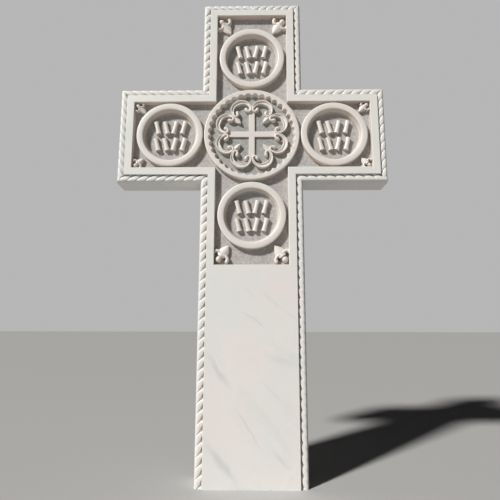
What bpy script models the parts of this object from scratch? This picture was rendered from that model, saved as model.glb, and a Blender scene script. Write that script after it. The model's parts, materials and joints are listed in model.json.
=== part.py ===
"""Carved marble grave cross, one solid piece of stone.

A Latin cross with a carved rope along its front edge, a flat fillet inside the rope, and a sunken
cross-shaped panel. A medallion sits at the crossing, with a small cross and eight C-scrolls inside
a scalloped rim. Four roundels around it hold rows of raised strokes, and eight lilies fill the
outer corners of the panel.

Metres, +Z up. The carved face looks along -Y, the foot stands on Z = 0, the origin is at the
middle of the foot, and Y = 0 is the middle of the slab's thickness.
"""

from math import atan2, cos, hypot, pi, radians, sin

import bmesh
import bpy
from mathutils import Vector

# Slab, measured over the flat fillet and without the rope
SHAFT_WIDTH = 0.2184
ARM_SPAN = 0.6384
ARM_HEIGHT = 0.2132
CROSSING_HEIGHT = 0.829
HEAD_LENGTH = 0.3517
THICKNESS = 0.076

# Sunken panel
FILLET_WIDTH = 0.0187
HEAD_FILLET_WIDTH = 0.0170
PANEL_DEPTH = 0.0160
PANEL_TAIL = 0.3325

# Rope along the front edge, between the fillet's wall and the plain side
ROPE_RADIUS = 0.0086
ROPE_STRANDS = 2
ROPE_PITCH = 0.0231
HEAD_ROPE_PITCH = 0.0196
ROPE_GROOVE = 0.0030
ROPE_OUTER_WEAR = 0.6
ROPE_SETBACK = 0.0038
ROPE_WALL_GAP = 0.0006
GROOVE_BELOW_ROPE = 0.0030
SIDE_PAST_ROPE = 0.0006
SIDE_BELOW_ROPE = 0.0030

# Medallion at the crossing, its scrolls and small cross set a little above its middle
MEDALLION_CORNER_GAP = 0.0055
MEDALLION_RIM_WIDTH = 0.0106
MEDALLION_SLOPE_WIDTH = 0.0115
SCALLOPS = 36
SCALLOP_DEPTH = 0.0055
MEDALLION_FLOOR_RISE = 0.0045
MEDALLION_INSIDE_RISE = 0.0016
BAR_WIDTH = 0.0150
BAR_SETBACK = 0.0065

# Scrolls inside the medallion
SCROLLS = 8
SCROLL_BAND = 0.0140
SCROLL_END_BAND = 0.0055
SCROLL_OVERLAP = 0.0004
SCROLL_SETBACK = 0.0010
SCROLL_RIM_GAP = 0.0025
SCROLL_TURN = radians(108.0)
HOOK_TURN = radians(165.0)
HOOK_RADIUS = 0.0056
KNOB_RADIUS = 0.0048
BUD_LENGTH = 0.0250
BUD_WIDTH = 0.0150

# Roundels
ROUNDEL_WALL_GAP = 0.0040
ROUNDEL_GAP_ACROSS = 0.0030
ROUNDEL_GAP_ABOVE = 0.0073
ROUNDEL_GAP_BELOW = 0.0055
ROUNDEL_RIM_WIDTH = 0.0158
ROUNDEL_SLOPE_WIDTH = 0.0075
ROUNDEL_SINK = 0.0035

# Raised strokes inside the roundels
STROKES_PER_ROW = 4
STROKE_HEIGHT = 0.0072
STROKE_WIDTH = 0.0100
STROKE_FLARE = 1.30
STROKE_LEAN = radians(14.0)
STROKE_LENGTH_SHARE = 0.54
STROKE_SPACING_SHARE = 0.37

# Lilies in the corners of the panel, as shares of the way from the corner to the ring
LILY_SETBACK = 0.0030
LILY_ROOT = 0.13
LILY_JOINT = 0.38
LILY_TIP = 0.86
PETAL_HALF_WIDTH = 0.18
BUD_HALF_WIDTH = 0.095
VOLUTE_BULGE = 0.10
VOLUTE_SPREAD = 0.14
VOLUTE_HALF_WIDTH = 0.05

# Eased edges, the share of a form's width that its top keeps, and how deep each form is rooted
EASE = 0.0014
TOP_SHARE = 0.7
ROOT = 0.0055

# How finely the round forms are faceted
ROPE_SIDES = 4
RING_STEPS = 30
KNOB_SIDES = 5
ARC_STEPS = 4
HOOK_STEPS = 3

# Worked out from the sizes above
FRONT = -THICKNESS / 2
BACK = THICKNESS / 2
FLOOR = FRONT + PANEL_DEPTH
HALF_SHAFT = SHAFT_WIDTH / 2
HALF_SPAN = ARM_SPAN / 2
HALF_ARM = ARM_HEIGHT / 2
PANEL_HALF_SHAFT = HALF_SHAFT - FILLET_WIDTH
PANEL_HALF_SPAN = HALF_SPAN - FILLET_WIDTH
PANEL_HALF_ARM = HALF_ARM - FILLET_WIDTH
PANEL_HEAD = HEAD_LENGTH - HEAD_FILLET_WIDTH
ROPE_OFFSET = ROPE_RADIUS + ROPE_WALL_GAP
ROPE_DEPTH = ROPE_SETBACK + ROPE_RADIUS
SIDE_REACH = ROPE_RADIUS + SIDE_PAST_ROPE
MEDALLION_RADIUS = hypot(PANEL_HALF_SHAFT, PANEL_HALF_ARM) - MEDALLION_CORNER_GAP
MEDALLION_FLOOR_RADIUS = MEDALLION_RADIUS - MEDALLION_RIM_WIDTH - MEDALLION_SLOPE_WIDTH
ROUNDEL_RADIUS = min(PANEL_HALF_ARM, PANEL_HALF_SHAFT) - ROUNDEL_WALL_GAP
ROUNDEL_FLOOR_RADIUS = ROUNDEL_RADIUS - ROUNDEL_RIM_WIDTH - ROUNDEL_SLOPE_WIDTH
ROUNDEL_ACROSS = MEDALLION_RADIUS + ROUNDEL_GAP_ACROSS + ROUNDEL_RADIUS
ROUNDEL_ABOVE = MEDALLION_RADIUS + ROUNDEL_GAP_ABOVE + ROUNDEL_RADIUS
ROUNDEL_BELOW = MEDALLION_RADIUS + ROUNDEL_GAP_BELOW + ROUNDEL_RADIUS


def clear_scene():
    for item in list(bpy.data.objects):
        bpy.data.objects.remove(item, do_unlink=True)


def new_collection(name):
    collection = bpy.data.collections.new(name)
    bpy.context.scene.collection.children.link(collection)
    return collection


def as_cutter(item):
    """Keep a form that only cuts or joins out of the finished part."""
    item.hide_render = True
    item.display_type = "WIRE"


def point_on_panel(x, z, height):
    """A point at x, z measured from the crossing, standing height above the panel's floor."""
    return Vector((x, FLOOR - height, CROSSING_HEIGHT + z))


def solid(name, bm, collection):
    """Turn a finished bmesh into an object whose faces point outwards."""
    bmesh.ops.recalc_face_normals(bm, faces=bm.faces)
    mesh = bpy.data.meshes.new(name)
    bm.to_mesh(mesh)
    bm.free()
    item = bpy.data.objects.new(name, mesh)
    collection.objects.link(item)
    return item


def loft(name, sections, collection):
    """A closed solid through a row of closed sections."""
    bm = bmesh.new()
    rings = [[bm.verts.new(point) for point in section] for section in sections]
    for near, far in zip(rings, rings[1:]):
        for k in range(len(near)):
            following = (k + 1) % len(near)
            bm.faces.new((near[k], near[following], far[following], far[k]))
    bm.faces.new(rings[0])
    bm.faces.new(rings[-1])
    solid(name, bm, collection)


def prism(name, outline, front, back, collection):
    """A flat outline in the XZ plane, filled and given its thickness from front to back."""
    curve = bpy.data.curves.new(name, "CURVE")
    curve.dimensions = "2D"
    curve.fill_mode = "BOTH"
    curve.extrude = (back - front) / 2
    spline = curve.splines.new("POLY")
    spline.points.add(len(outline) - 1)
    for spline_point, (x, z) in zip(spline.points, outline):
        spline_point.co = (x, z, 0.0, 1.0)
    spline.use_cyclic_u = True
    drawn = bpy.data.objects.new(name + "_outline", curve)
    collection.objects.link(drawn)
    drawn.location = (0.0, (front + back) / 2, 0.0)
    drawn.rotation_euler = (pi / 2, 0.0, 0.0)
    bpy.context.view_layer.update()
    evaluated = drawn.evaluated_get(bpy.context.evaluated_depsgraph_get())
    mesh = bpy.data.meshes.new_from_object(evaluated)
    bm = bmesh.new()
    bm.from_mesh(mesh)
    bmesh.ops.remove_doubles(bm, verts=bm.verts, dist=1e-5)
    item = solid(name, bm, collection)
    item.matrix_world = drawn.matrix_world.copy()
    bpy.data.objects.remove(drawn, do_unlink=True)
    bpy.data.meshes.remove(mesh)
    return item


def turned_ring(name, profile, x, z, collection):
    """A closed profile of (radius, height above the floor) turned about an axis along Y."""
    mesh = bpy.data.meshes.new(name)
    bm = bmesh.new()
    corners = [bm.verts.new((radius, 0.0, height)) for radius, height in profile]
    for first, second in zip(corners, corners[1:] + corners[:1]):
        bm.edges.new((first, second))
    bm.to_mesh(mesh)
    bm.free()
    item = bpy.data.objects.new(name, mesh)
    item.location = (x, FLOOR, CROSSING_HEIGHT + z)
    item.rotation_euler = (pi / 2, 0.0, 0.0)
    turn = item.modifiers.new("turn", "SCREW")
    turn.angle = 2 * pi
    turn.steps = RING_STEPS
    turn.render_steps = RING_STEPS
    turn.use_merge_vertices = True
    turn.merge_threshold = 0.00001
    turn.use_normal_calculate = True
    collection.objects.link(item)


def cross_outline(half_shaft, half_span, half_arm, head, foot):
    """The twelve corners of a Latin cross, with heights above the foot's plane."""
    upper = CROSSING_HEIGHT + half_arm
    lower = CROSSING_HEIGHT - half_arm
    left = [
        (-half_shaft, foot),
        (-half_shaft, lower),
        (-half_span, lower),
        (-half_span, upper),
        (-half_shaft, upper),
        (-half_shaft, CROSSING_HEIGHT + head),
    ]
    return left + [(-x, z) for x, z in reversed(left)]


def ridge(name, path, half_widths, height, collection, crown=0.0):
    """A raised band along a path on the panel, flat or crowned, with a half width at each point."""
    sections = []
    for k, (x, z) in enumerate(path):
        before = path[max(k - 1, 0)]
        after = path[min(k + 1, len(path) - 1)]
        heading = atan2(after[1] - before[1], after[0] - before[0])
        half = half_widths[k]
        if crown > 0.0:
            shoulder = height - crown
            corners = [(-half, -ROOT), (-half, shoulder), (0.0, height), (half, shoulder), (half, -ROOT)]
        else:
            top = half * TOP_SHARE
            corners = [(-half, -ROOT), (-top, height), (top, height), (half, -ROOT)]
        sections.append([
            point_on_panel(x - side * sin(heading), z + side * cos(heading), rise)
            for side, rise in corners
        ])
    loft(name, sections, collection)


def knob(name, x, z, radius, height, collection):
    """A small round boss, narrower at the top."""
    sections = []
    for reach, rise in ((radius, -ROOT), (radius * TOP_SHARE, height)):
        turns = [2 * pi * k / KNOB_SIDES for k in range(KNOB_SIDES)]
        sections.append([point_on_panel(x + reach * cos(a), z + reach * sin(a), rise) for a in turns])
    loft(name, sections, collection)


def rope_rows():
    """Rows across the rope, as (x, z, across) along its axis, with its corners and its leans.

    The rope runs from the left foot round the arms and the head to the right foot. Across is the
    way outwards, along the mitre where the rope turns a corner. The lean of the strands changes
    where the carver turned the rope over, and mirrors at the middle of the head.
    """
    axis = cross_outline(
        HALF_SHAFT + ROPE_OFFSET, HALF_SPAN + ROPE_OFFSET, HALF_ARM + ROPE_OFFSET,
        HEAD_LENGTH + ROPE_OFFSET, 0.0,
    )
    head_middle = len(axis) // 2
    axis.insert(head_middle, (0.0, axis[head_middle][1]))
    leans_left = [1, -1, -1, 1, 1, 1]
    leans = leans_left + [-lean for lean in reversed(leans_left)]
    rows = []
    row_leans = []
    corner_rows = []
    before = None
    for k, (start, end) in enumerate(zip(axis, axis[1:])):
        run = Vector((end[0] - start[0], end[1] - start[1]))
        across = Vector((-run.y, run.x)).normalized()
        pitch = HEAD_ROPE_PITCH if k in (head_middle - 1, head_middle) else ROPE_PITCH
        steps = 2 * max(1, round(run.length / pitch))
        if k != head_middle:
            corner_rows.append(len(rows))
        turned = before is not None and before.dot(across) < 0.5
        rows.append((Vector(start), across + before if turned else across))
        for step in range(1, steps):
            rows.append((Vector(start) + run * step / steps, across))
        row_leans += [leans[k]] * steps
        before = across
    corner_rows.append(len(rows))
    rows.append((Vector(axis[-1]), before))
    return rows, row_leans, corner_rows


def rope_edged_slab(collection):
    """The plain cross with the rope along its front edge: one closed surface, no carving yet."""
    rows, row_leans, corner_rows = rope_rows()
    depth = FRONT + ROPE_DEPTH
    bm = bmesh.new()

    def vertex(row, offset, y):
        place = rows[row][0] + rows[row][1] * offset
        return bm.verts.new((place.x, y, place.y))

    strips = []
    for row in range(len(rows)):
        strip = []
        for k in range(ROPE_SIDES + 1):
            turn = pi - pi * k / ROPE_SIDES
            hollow = (1.0 - cos(ROPE_STRANDS * turn - pi * row)) / 2
            wear = 1.0 - ROPE_OUTER_WEAR * max(0.0, cos(turn))
            reach = ROPE_RADIUS - ROPE_GROOVE * hollow * wear
            strip.append(vertex(row, reach * cos(turn), depth - reach * sin(turn)))
        strips.append(strip)
    groove = {row: vertex(row, -ROPE_OFFSET, depth + GROOVE_BELOW_ROPE) for row in range(0, len(rows), 2)}
    side = {row: vertex(row, SIDE_REACH, depth + SIDE_BELOW_ROPE) for row in range(0, len(rows), 2)}
    for near, far, lean in zip(strips, strips[1:], row_leans):
        for k in range(len(near) - 1):
            if lean > 0:
                bm.faces.new((near[k], near[k + 1], far[k]))
                bm.faces.new((near[k + 1], far[k + 1], far[k]))
            else:
                bm.faces.new((near[k], near[k + 1], far[k + 1]))
                bm.faces.new((near[k], far[k + 1], far[k]))
    for foot, edge in ((groove, 0), (side, -1)):
        for row in range(0, len(rows) - 2, 2):
            crest = [strip[edge] for strip in strips[row:row + 3]]
            bm.faces.new((foot[row], crest[0], crest[1]))
            bm.faces.new((foot[row], crest[1], foot[row + 2]))
            bm.faces.new((foot[row + 2], crest[1], crest[2]))

    front = [vertex(row, -ROPE_OFFSET, FRONT) for row in corner_rows]
    back = [vertex(row, SIDE_REACH, BACK) for row in corner_rows]
    bm.faces.new(front)
    bm.faces.new(back)
    for k, (first, last) in enumerate(zip(corner_rows, corner_rows[1:])):
        for flat, foot in ((front, groove), (back, side)):
            bm.faces.new([flat[k], flat[k + 1]] + [foot[row] for row in range(last, first - 1, -2)])
    last = len(rows) - 1
    left_foot = [front[0], groove[0]] + strips[0] + [side[0], back[0]]
    right_foot = [back[-1], side[last]] + strips[-1][::-1] + [groove[last], front[-1]]
    bm.faces.new(left_foot + right_foot)
    return solid("marble_cross", bm, collection)


def disc(name, x, z, radius, bottom, top, collection):
    """A round plate or cutter about an axis along Y, between two heights from the panel's floor."""
    bm = bmesh.new()
    bmesh.ops.create_cone(
        bm, cap_ends=True, segments=RING_STEPS, depth=top - bottom, radius1=radius, radius2=radius,
    )
    item = solid(name, bm, collection)
    item.location = point_on_panel(x, z, (bottom + top) / 2)
    item.rotation_euler = (pi / 2, 0.0, 0.0)


def medallion_rim(collection):
    """The medallion's round rim, its inner edge gouged into scallops."""
    steps = 2 * SCALLOPS
    outer = MEDALLION_RADIUS
    crest = outer - MEDALLION_RIM_WIDTH
    bm = bmesh.new()
    rings = []
    for step in range(steps):
        turn = 2 * pi * step / steps
        cusp = SCALLOP_DEPTH * ((step + 1) % 2)
        profile = (
            (outer, -ROOT),
            (outer, PANEL_DEPTH - 2 * EASE),
            (outer - 2 * EASE, PANEL_DEPTH),
            (crest - cusp, PANEL_DEPTH - EASE),
            (MEDALLION_FLOOR_RADIUS + SCALLOP_DEPTH - cusp, -ROOT),
        )
        rings.append([
            bm.verts.new(point_on_panel(radius * cos(turn), radius * sin(turn), height))
            for radius, height in profile
        ])
    for near, far in zip(rings, rings[1:] + rings[:1]):
        for k in range(len(near)):
            following = (k + 1) % len(near)
            bm.faces.new((near[k], near[following], far[following], far[k]))
    solid("medallion_rim", bm, collection)


def scroll_path(lobe_radius):
    """Half of a C-scroll about its lobe's centre, from the outermost point to the hook's end."""
    middle = lobe_radius - SCROLL_BAND / 2
    points = []
    for step in range(ARC_STEPS + 1):
        share = step / ARC_STEPS
        turn = SCROLL_TURN * share
        radius = middle + share * (SCROLL_BAND - SCROLL_END_BAND) / 2
        points.append((radius * cos(turn), radius * sin(turn), 1.0 - share))
    radius = middle + (SCROLL_BAND - SCROLL_END_BAND) / 2 - HOOK_RADIUS
    centre = radius * cos(SCROLL_TURN), radius * sin(SCROLL_TURN)
    for step in range(1, HOOK_STEPS + 1):
        turn = SCROLL_TURN + HOOK_TURN * step / HOOK_STEPS
        points.append((centre[0] + HOOK_RADIUS * cos(turn), centre[1] + HOOK_RADIUS * sin(turn), 0.0))
    return points


def medallion_scrolls(collection):
    """C-scrolls that close on each other, a leaf bud on each diagonal and the small cross."""
    reach = MEDALLION_FLOOR_RADIUS - SCROLL_RIM_GAP
    lobe_share = sin(pi / SCROLLS)
    lobe_centre = reach / (1 + lobe_share)
    lobe_radius = lobe_centre * lobe_share + SCROLL_OVERLAP
    height = PANEL_DEPTH - SCROLL_SETBACK
    half = scroll_path(lobe_radius)
    whole = [(x, -z, share) for x, z, share in reversed(half[1:])] + half
    for k in range(SCROLLS):
        outward = (k + 0.5) * 2 * pi / SCROLLS

        def placed(x, z):
            return (
                (lobe_centre + x) * cos(outward) - z * sin(outward),
                (lobe_centre + x) * sin(outward) + z * cos(outward) + MEDALLION_INSIDE_RISE,
            )

        path = [placed(x, z) for x, z, _ in whole]
        widths = [(SCROLL_END_BAND + (SCROLL_BAND - SCROLL_END_BAND) * share) / 2 for _, _, share in whole]
        ridge(f"scroll_{k}", path, widths, height, collection)
        for side, end in enumerate((path[0], path[-1])):
            knob(f"scroll_knob_{k}_{side}", *end, KNOB_RADIUS, height - EASE, collection)
    base = lobe_centre * cos(pi / SCROLLS)
    for k in range(4):
        outward = pi / 4 + k * pi / 2
        path = [(r * cos(outward), r * sin(outward) + MEDALLION_INSIDE_RISE) for r in (
            base, base - BUD_LENGTH / 3, base - BUD_LENGTH * 2 / 3, base - BUD_LENGTH,
        )]
        widths = [BUD_WIDTH * share for share in (0.22, 0.5, 0.4, 0.05)]
        ridge(f"leaf_bud_{k}", path, widths, height - EASE, collection, 3 * EASE)
    reach = lobe_centre + lobe_radius / 4
    half = BAR_WIDTH / 2
    quarter = [(-reach, half), (-half, half), (-half, reach)]
    upper = quarter + [(-x, z) for x, z in reversed(quarter)]
    outline = upper + [(x, -z) for x, z in reversed(upper)]
    outline = [(x, CROSSING_HEIGHT + MEDALLION_INSIDE_RISE + z) for x, z in outline]
    prism("inner_cross", outline, FRONT + BAR_SETBACK, FLOOR + ROOT, collection)


def roundel_rim(name, x, z, collection):
    """A flat-faced ring with a slope down to its sunken middle."""
    inner = ROUNDEL_RADIUS - ROUNDEL_RIM_WIDTH
    profile = (
        (ROUNDEL_RADIUS, -ROOT),
        (ROUNDEL_RADIUS, PANEL_DEPTH - EASE),
        (ROUNDEL_RADIUS - EASE, PANEL_DEPTH),
        (inner, PANEL_DEPTH),
        (ROUNDEL_FLOOR_RADIUS, -ROOT),
    )
    turned_ring(name, profile, x, z, collection)


def roundel_strokes(name, x, z, collection):
    """Two rows of slanted strokes with flared ends, the right half mirroring the left."""
    length = ROUNDEL_FLOOR_RADIUS * STROKE_LENGTH_SHARE
    spacing = ROUNDEL_FLOOR_RADIUS * STROKE_SPACING_SHARE
    widths = [STROKE_WIDTH / 2 * share for share in (STROKE_FLARE, 1.0, STROKE_FLARE)]
    for row in (-1, 1):
        for k in range(STROKES_PER_ROW):
            place = (k - (STROKES_PER_ROW - 1) / 2) * spacing
            lean = STROKE_LEAN if place > 0 else -STROKE_LEAN
            path = [
                (x + place + reach * length * sin(lean), z + row * spacing + reach * length * cos(lean))
                for reach in (-0.5, 0.0, 0.5)
            ]
            ridge(f"{name}_stroke_{row}_{k}", path, widths, STROKE_HEIGHT, collection)


def lily(name, corner, ring, collection):
    """A lily on the diagonal from a corner of the panel towards the ring beside it."""
    along = Vector((ring[0] - corner[0], ring[1] - corner[1]))
    free = along.length - ROUNDEL_RADIUS
    across = Vector((-along.y, along.x)).normalized()
    along.normalize()
    height = PANEL_DEPTH - LILY_SETBACK

    def placed(forward, sideways):
        return tuple(Vector(corner) + (along * forward + across * sideways) * free)

    stem = LILY_TIP - LILY_JOINT
    petal = [placed(LILY_JOINT + stem * share, 0.0) for share in (-0.1, 0.2, 0.5, 0.8, 1.0)]
    widths = [free * PETAL_HALF_WIDTH * share for share in (0.35, 0.85, 1.0, 0.5, 0.06)]
    ridge(name + "_petal", petal, widths, height, collection, 3 * EASE)
    stem = LILY_JOINT - LILY_ROOT
    bud = [placed(LILY_ROOT + stem * share, 0.0) for share in (0.0, 0.5, 1.1)]
    widths = [free * BUD_HALF_WIDTH * share for share in (0.7, 1.0, 0.6)]
    ridge(name + "_bud", bud, widths, height - EASE, collection, 2 * EASE)
    for side in (-1, 1):
        turns = [pi * 1.05 * step / 4 for step in range(5)]
        volute = [
            placed(LILY_JOINT + VOLUTE_BULGE * sin(turn), side * VOLUTE_SPREAD * (1.0 - cos(turn)))
            for turn in turns
        ]
        widths = [free * VOLUTE_HALF_WIDTH * share for share in (0.8, 0.9, 1.1, 1.1, 0.7)]
        ridge(f"{name}_volute_{side}", volute, widths, height - 2 * EASE, collection)


def marble():
    material = bpy.data.materials.new("white_marble")
    material.use_nodes = True
    shader = material.node_tree.nodes["Principled BSDF"]
    shader.inputs["Base Color"].default_value = (0.72, 0.70, 0.67, 1.0)
    shader.inputs["Roughness"].default_value = 0.5
    shader.inputs["Metallic"].default_value = 0.0
    return material


def combine(target, operation, collection):
    step = target.modifiers.new(collection.name, "BOOLEAN")
    step.operation = operation
    step.solver = "EXACT"
    step.operand_type = "COLLECTION"
    step.collection = collection


def build():
    clear_scene()
    collection = {
        "part": new_collection("Marble cross"),
        "cutters": new_collection("Cutters"),
        "carving": new_collection("Carved forms"),
    }
    carving = collection["carving"]
    cross = rope_edged_slab(collection["part"])
    prism("panel_cutter", cross_outline(
        PANEL_HALF_SHAFT, PANEL_HALF_SPAN, PANEL_HALF_ARM, PANEL_HEAD, CROSSING_HEIGHT - PANEL_TAIL,
    ), FRONT - ROOT, FLOOR, collection["cutters"])
    medallion_rim(carving)
    disc("medallion_floor", 0.0, 0.0, MEDALLION_RADIUS - MEDALLION_RIM_WIDTH / 2,
         -ROOT / 2, MEDALLION_FLOOR_RISE, carving)
    medallion_scrolls(carving)
    roundels = {
        "left": (-ROUNDEL_ACROSS, 0.0),
        "right": (ROUNDEL_ACROSS, 0.0),
        "upper": (0.0, ROUNDEL_ABOVE),
        "lower": (0.0, -ROUNDEL_BELOW),
    }
    for name, (x, z) in roundels.items():
        disc(f"roundel_{name}_cutter", x, z, ROUNDEL_RADIUS - ROUNDEL_RIM_WIDTH,
             -ROUNDEL_SINK, ROUNDEL_SINK, collection["cutters"])
        roundel_rim(f"roundel_{name}", x, z, carving)
        roundel_strokes(f"roundel_{name}", x, z, carving)
    for side in (-1, 1):
        hand = "left" if side < 0 else "right"
        lily(f"lily_head_{hand}", (side * PANEL_HALF_SHAFT, PANEL_HEAD), roundels["upper"], carving)
        lily(f"lily_tail_{hand}", (side * PANEL_HALF_SHAFT, -PANEL_TAIL), roundels["lower"], carving)
        for level in (-1, 1):
            corner = side * PANEL_HALF_SPAN, level * PANEL_HALF_ARM
            lily(f"lily_arm_{hand}_{level}", corner, roundels[hand], carving)
    combine(cross, "DIFFERENCE", collection["cutters"])
    combine(cross, "UNION", carving)
    for item in list(collection["cutters"].objects) + list(carving.objects):
        as_cutter(item)
    cross.data.materials.append(marble())


build()
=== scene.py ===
"""Looks of the carved marble grave cross.

One finely carved mesh takes the place of the faceted solid. It follows the same sizes: a slab with a
twisted rope along its front edge, a sunken panel, a medallion, four roundels and eight lilies. A
procedural marble colours it by its height in the relief, with painted warm shade on the carving's walls.
A pale floor, a soft key light and a camera at the photograph's viewpoint finish the scene.
"""

import json
from math import atan2, cos, hypot, pi, radians, sin

import bmesh
import bpy
from mathutils import Matrix, Vector

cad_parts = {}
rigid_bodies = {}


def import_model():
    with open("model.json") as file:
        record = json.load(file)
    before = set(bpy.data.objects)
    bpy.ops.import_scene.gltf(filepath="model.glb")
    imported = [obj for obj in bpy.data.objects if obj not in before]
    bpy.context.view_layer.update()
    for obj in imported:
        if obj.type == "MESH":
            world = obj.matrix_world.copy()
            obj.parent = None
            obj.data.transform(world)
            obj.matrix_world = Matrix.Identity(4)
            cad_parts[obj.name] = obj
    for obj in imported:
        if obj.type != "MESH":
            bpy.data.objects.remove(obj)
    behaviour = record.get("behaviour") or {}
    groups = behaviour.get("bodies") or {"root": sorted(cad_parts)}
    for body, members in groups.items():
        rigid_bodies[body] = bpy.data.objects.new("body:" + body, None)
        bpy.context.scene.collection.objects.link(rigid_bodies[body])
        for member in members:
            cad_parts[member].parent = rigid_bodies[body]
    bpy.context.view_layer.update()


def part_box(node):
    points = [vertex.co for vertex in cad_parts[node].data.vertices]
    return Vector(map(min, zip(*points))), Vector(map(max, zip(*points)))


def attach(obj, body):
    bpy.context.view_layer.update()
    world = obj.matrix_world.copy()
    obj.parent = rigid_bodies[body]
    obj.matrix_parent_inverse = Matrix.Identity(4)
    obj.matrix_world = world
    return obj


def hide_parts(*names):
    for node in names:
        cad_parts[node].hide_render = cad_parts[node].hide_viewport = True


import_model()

NODE = "marble_cross"
low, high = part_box(NODE)

# Rope along the front edge, between the fillet's wall and the plain side
ROPE_RADIUS = 0.0086
ROPE_STRANDS = 2
ROPE_PITCH = 0.0231
HEAD_ROPE_PITCH = 0.0196
ROPE_GROOVE = 0.0031
ROPE_OUTER_WEAR = 0.95
HEAD_ROPE_WEAR = 0.30
ROPE_SETBACK = 0.0038
ROPE_WALL_GAP = 0.0006
GROOVE_BELOW_ROPE = 0.0045
WEB_SETBACK = 0.0066
SIDE_PAST_ROPE = 0.0006
SIDE_BELOW_ROPE = 0.0030
STRAND_STEPS = 12
STRAND_FULLNESS = 0.50
NOTCH_FULLNESS = 1.10
INNER_TURN = 180.0
OUTER_TURN = -10.0
WEAR_REACH = 0.6

# Slab, from the frame and the width of the rope round it
ROPE_OFFSET = ROPE_RADIUS + ROPE_WALL_GAP
SIDE_REACH = ROPE_RADIUS + SIDE_PAST_ROPE
FRONT = low[1]
BACK = high[1]
FOOT = low[2]
HALF_SPAN = high[0] - ROPE_OFFSET - SIDE_REACH
CROSSING_HEIGHT = 0.829
HEAD_LENGTH = high[2] - CROSSING_HEIGHT - ROPE_OFFSET - SIDE_REACH
HALF_SHAFT = 0.1092
HALF_ARM = 0.1066
BACK_EASE = 0.0022

# Sunken panel
FILLET_WIDTH = 0.0187
HEAD_FILLET_WIDTH = 0.0170
PANEL_DEPTH = 0.0160
PANEL_TAIL = 0.3325
EASE = 0.0013
WALL_SLOPE = 0.0006
FLOOR_EASE = 0.0010
PANEL_HALF_SHAFT = HALF_SHAFT - FILLET_WIDTH
PANEL_HALF_SPAN = HALF_SPAN - FILLET_WIDTH
PANEL_HALF_ARM = HALF_ARM - FILLET_WIDTH
PANEL_HEAD = HEAD_LENGTH - HEAD_FILLET_WIDTH
FLOOR = FRONT + PANEL_DEPTH
ROOT = 0.0055
CUTTER_TOP = 0.0030
FORM_TONE = 0.10

# Medallion at the crossing, its scrolls and small cross set a little above its middle
MEDALLION_CORNER_GAP = 0.0055
MEDALLION_RADIUS = hypot(PANEL_HALF_SHAFT, PANEL_HALF_ARM) - MEDALLION_CORNER_GAP
MEDALLION_RIM_WIDTH = 0.0106
MEDALLION_SLOPE_WIDTH = 0.0115
MEDALLION_FLOOR_RADIUS = MEDALLION_RADIUS - MEDALLION_RIM_WIDTH - MEDALLION_SLOPE_WIDTH
SCALLOPS = 36
SCALLOP_DEPTH = 0.0055
SCALLOP_STEPS = 8
SCALLOP_EDGE = (0.0010, 0.0005), (0.0, 0.0014)
SCALLOP_EDGE_DROP = 0.0014
SCALLOP_SHARES = 0.2, 0.45, 0.7, 0.9, 1.15
MEDALLION_FLOOR_RISE = 0.0045
MEDALLION_INSIDE_RISE = 0.0016
BAR_WIDTH = 0.0150
BAR_SETBACK = 0.0065
BAR_EDGE = (0.0, 0.0010), (-0.0003, 0.0003), (-0.0010, 0.0)

# Scrolls inside the medallion
SCROLLS = 8
SCROLL_BAND = 0.0140
SCROLL_END_BAND = 0.0055
SCROLL_OVERLAP = 0.0004
SCROLL_SETBACK = 0.0006
SCROLL_RIM_GAP = 0.0025
SCROLL_CHANNEL = 0.0034
SCROLL_TURN = radians(108.0)
HOOK_TURN = radians(175.0)
HOOK_RADIUS = 0.0056
KNOB_LENGTH = 0.0135
KNOB_WIDTH = 0.0094
LEAF_BUD_LENGTH = 0.0250
LEAF_BUD_WIDTH = 0.0150
LEAF_BUD_SETBACK = 0.0012
LEAF_BUD_CROWN = 0.0052
LEAF_BUD_SQUARENESS = 1.3
SCROLL_FADE = 2.5

# Roundels
ROUNDEL_WALL_GAP = 0.0040
ROUNDEL_GAP_ACROSS = 0.0030
ROUNDEL_GAP_ABOVE = 0.0073
ROUNDEL_GAP_BELOW = 0.0055
ROUNDEL_RIM_WIDTH = 0.0158
ROUNDEL_SLOPE_WIDTH = 0.0075
ROUNDEL_SINK = 0.0035
ROUNDEL_RADIUS = min(PANEL_HALF_ARM, PANEL_HALF_SHAFT) - ROUNDEL_WALL_GAP
ROUNDEL_FLOOR_RADIUS = ROUNDEL_RADIUS - ROUNDEL_RIM_WIDTH - ROUNDEL_SLOPE_WIDTH
ROUNDEL_ACROSS = MEDALLION_RADIUS + ROUNDEL_GAP_ACROSS + ROUNDEL_RADIUS
ROUNDEL_ABOVE = MEDALLION_RADIUS + ROUNDEL_GAP_ABOVE + ROUNDEL_RADIUS
ROUNDEL_BELOW = MEDALLION_RADIUS + ROUNDEL_GAP_BELOW + ROUNDEL_RADIUS
RIM_CROWN = 0.0024
RIM_SQUARENESS = 0.7
RIM_SHOULDER = (0.0, 0.0026), (0.0004, 0.0014), (0.0014, 0.0005), (0.0030, 0.0)
RIM_FOOT = (0.0006, -ROOT), (0.0002, 0.0008)
RIM_STEPS = 8
COVE_HOLLOW = 1.6
COVE_SHARES = 0.12, 0.28, 0.48, 0.70, 0.88
COVE_FOOT_DROP = 0.0004
RING_STEPS = 128
DOME_SIDES = 16
SHARP_ANGLE = radians(38)

# Raised strokes inside the roundels
STROKES_PER_ROW = 4
STROKE_HEIGHT = 0.0072
STROKE_WIDTH = 0.0100
STROKE_FLARE = 1.30
STROKE_LEAN = radians(14.0)
STROKE_CROWN = 0.0024
STROKE_SQUARENESS = 2.4
STROKE_LENGTH = ROUNDEL_FLOOR_RADIUS * 0.54
STROKE_SPACING = ROUNDEL_FLOOR_RADIUS * 0.37

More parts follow.
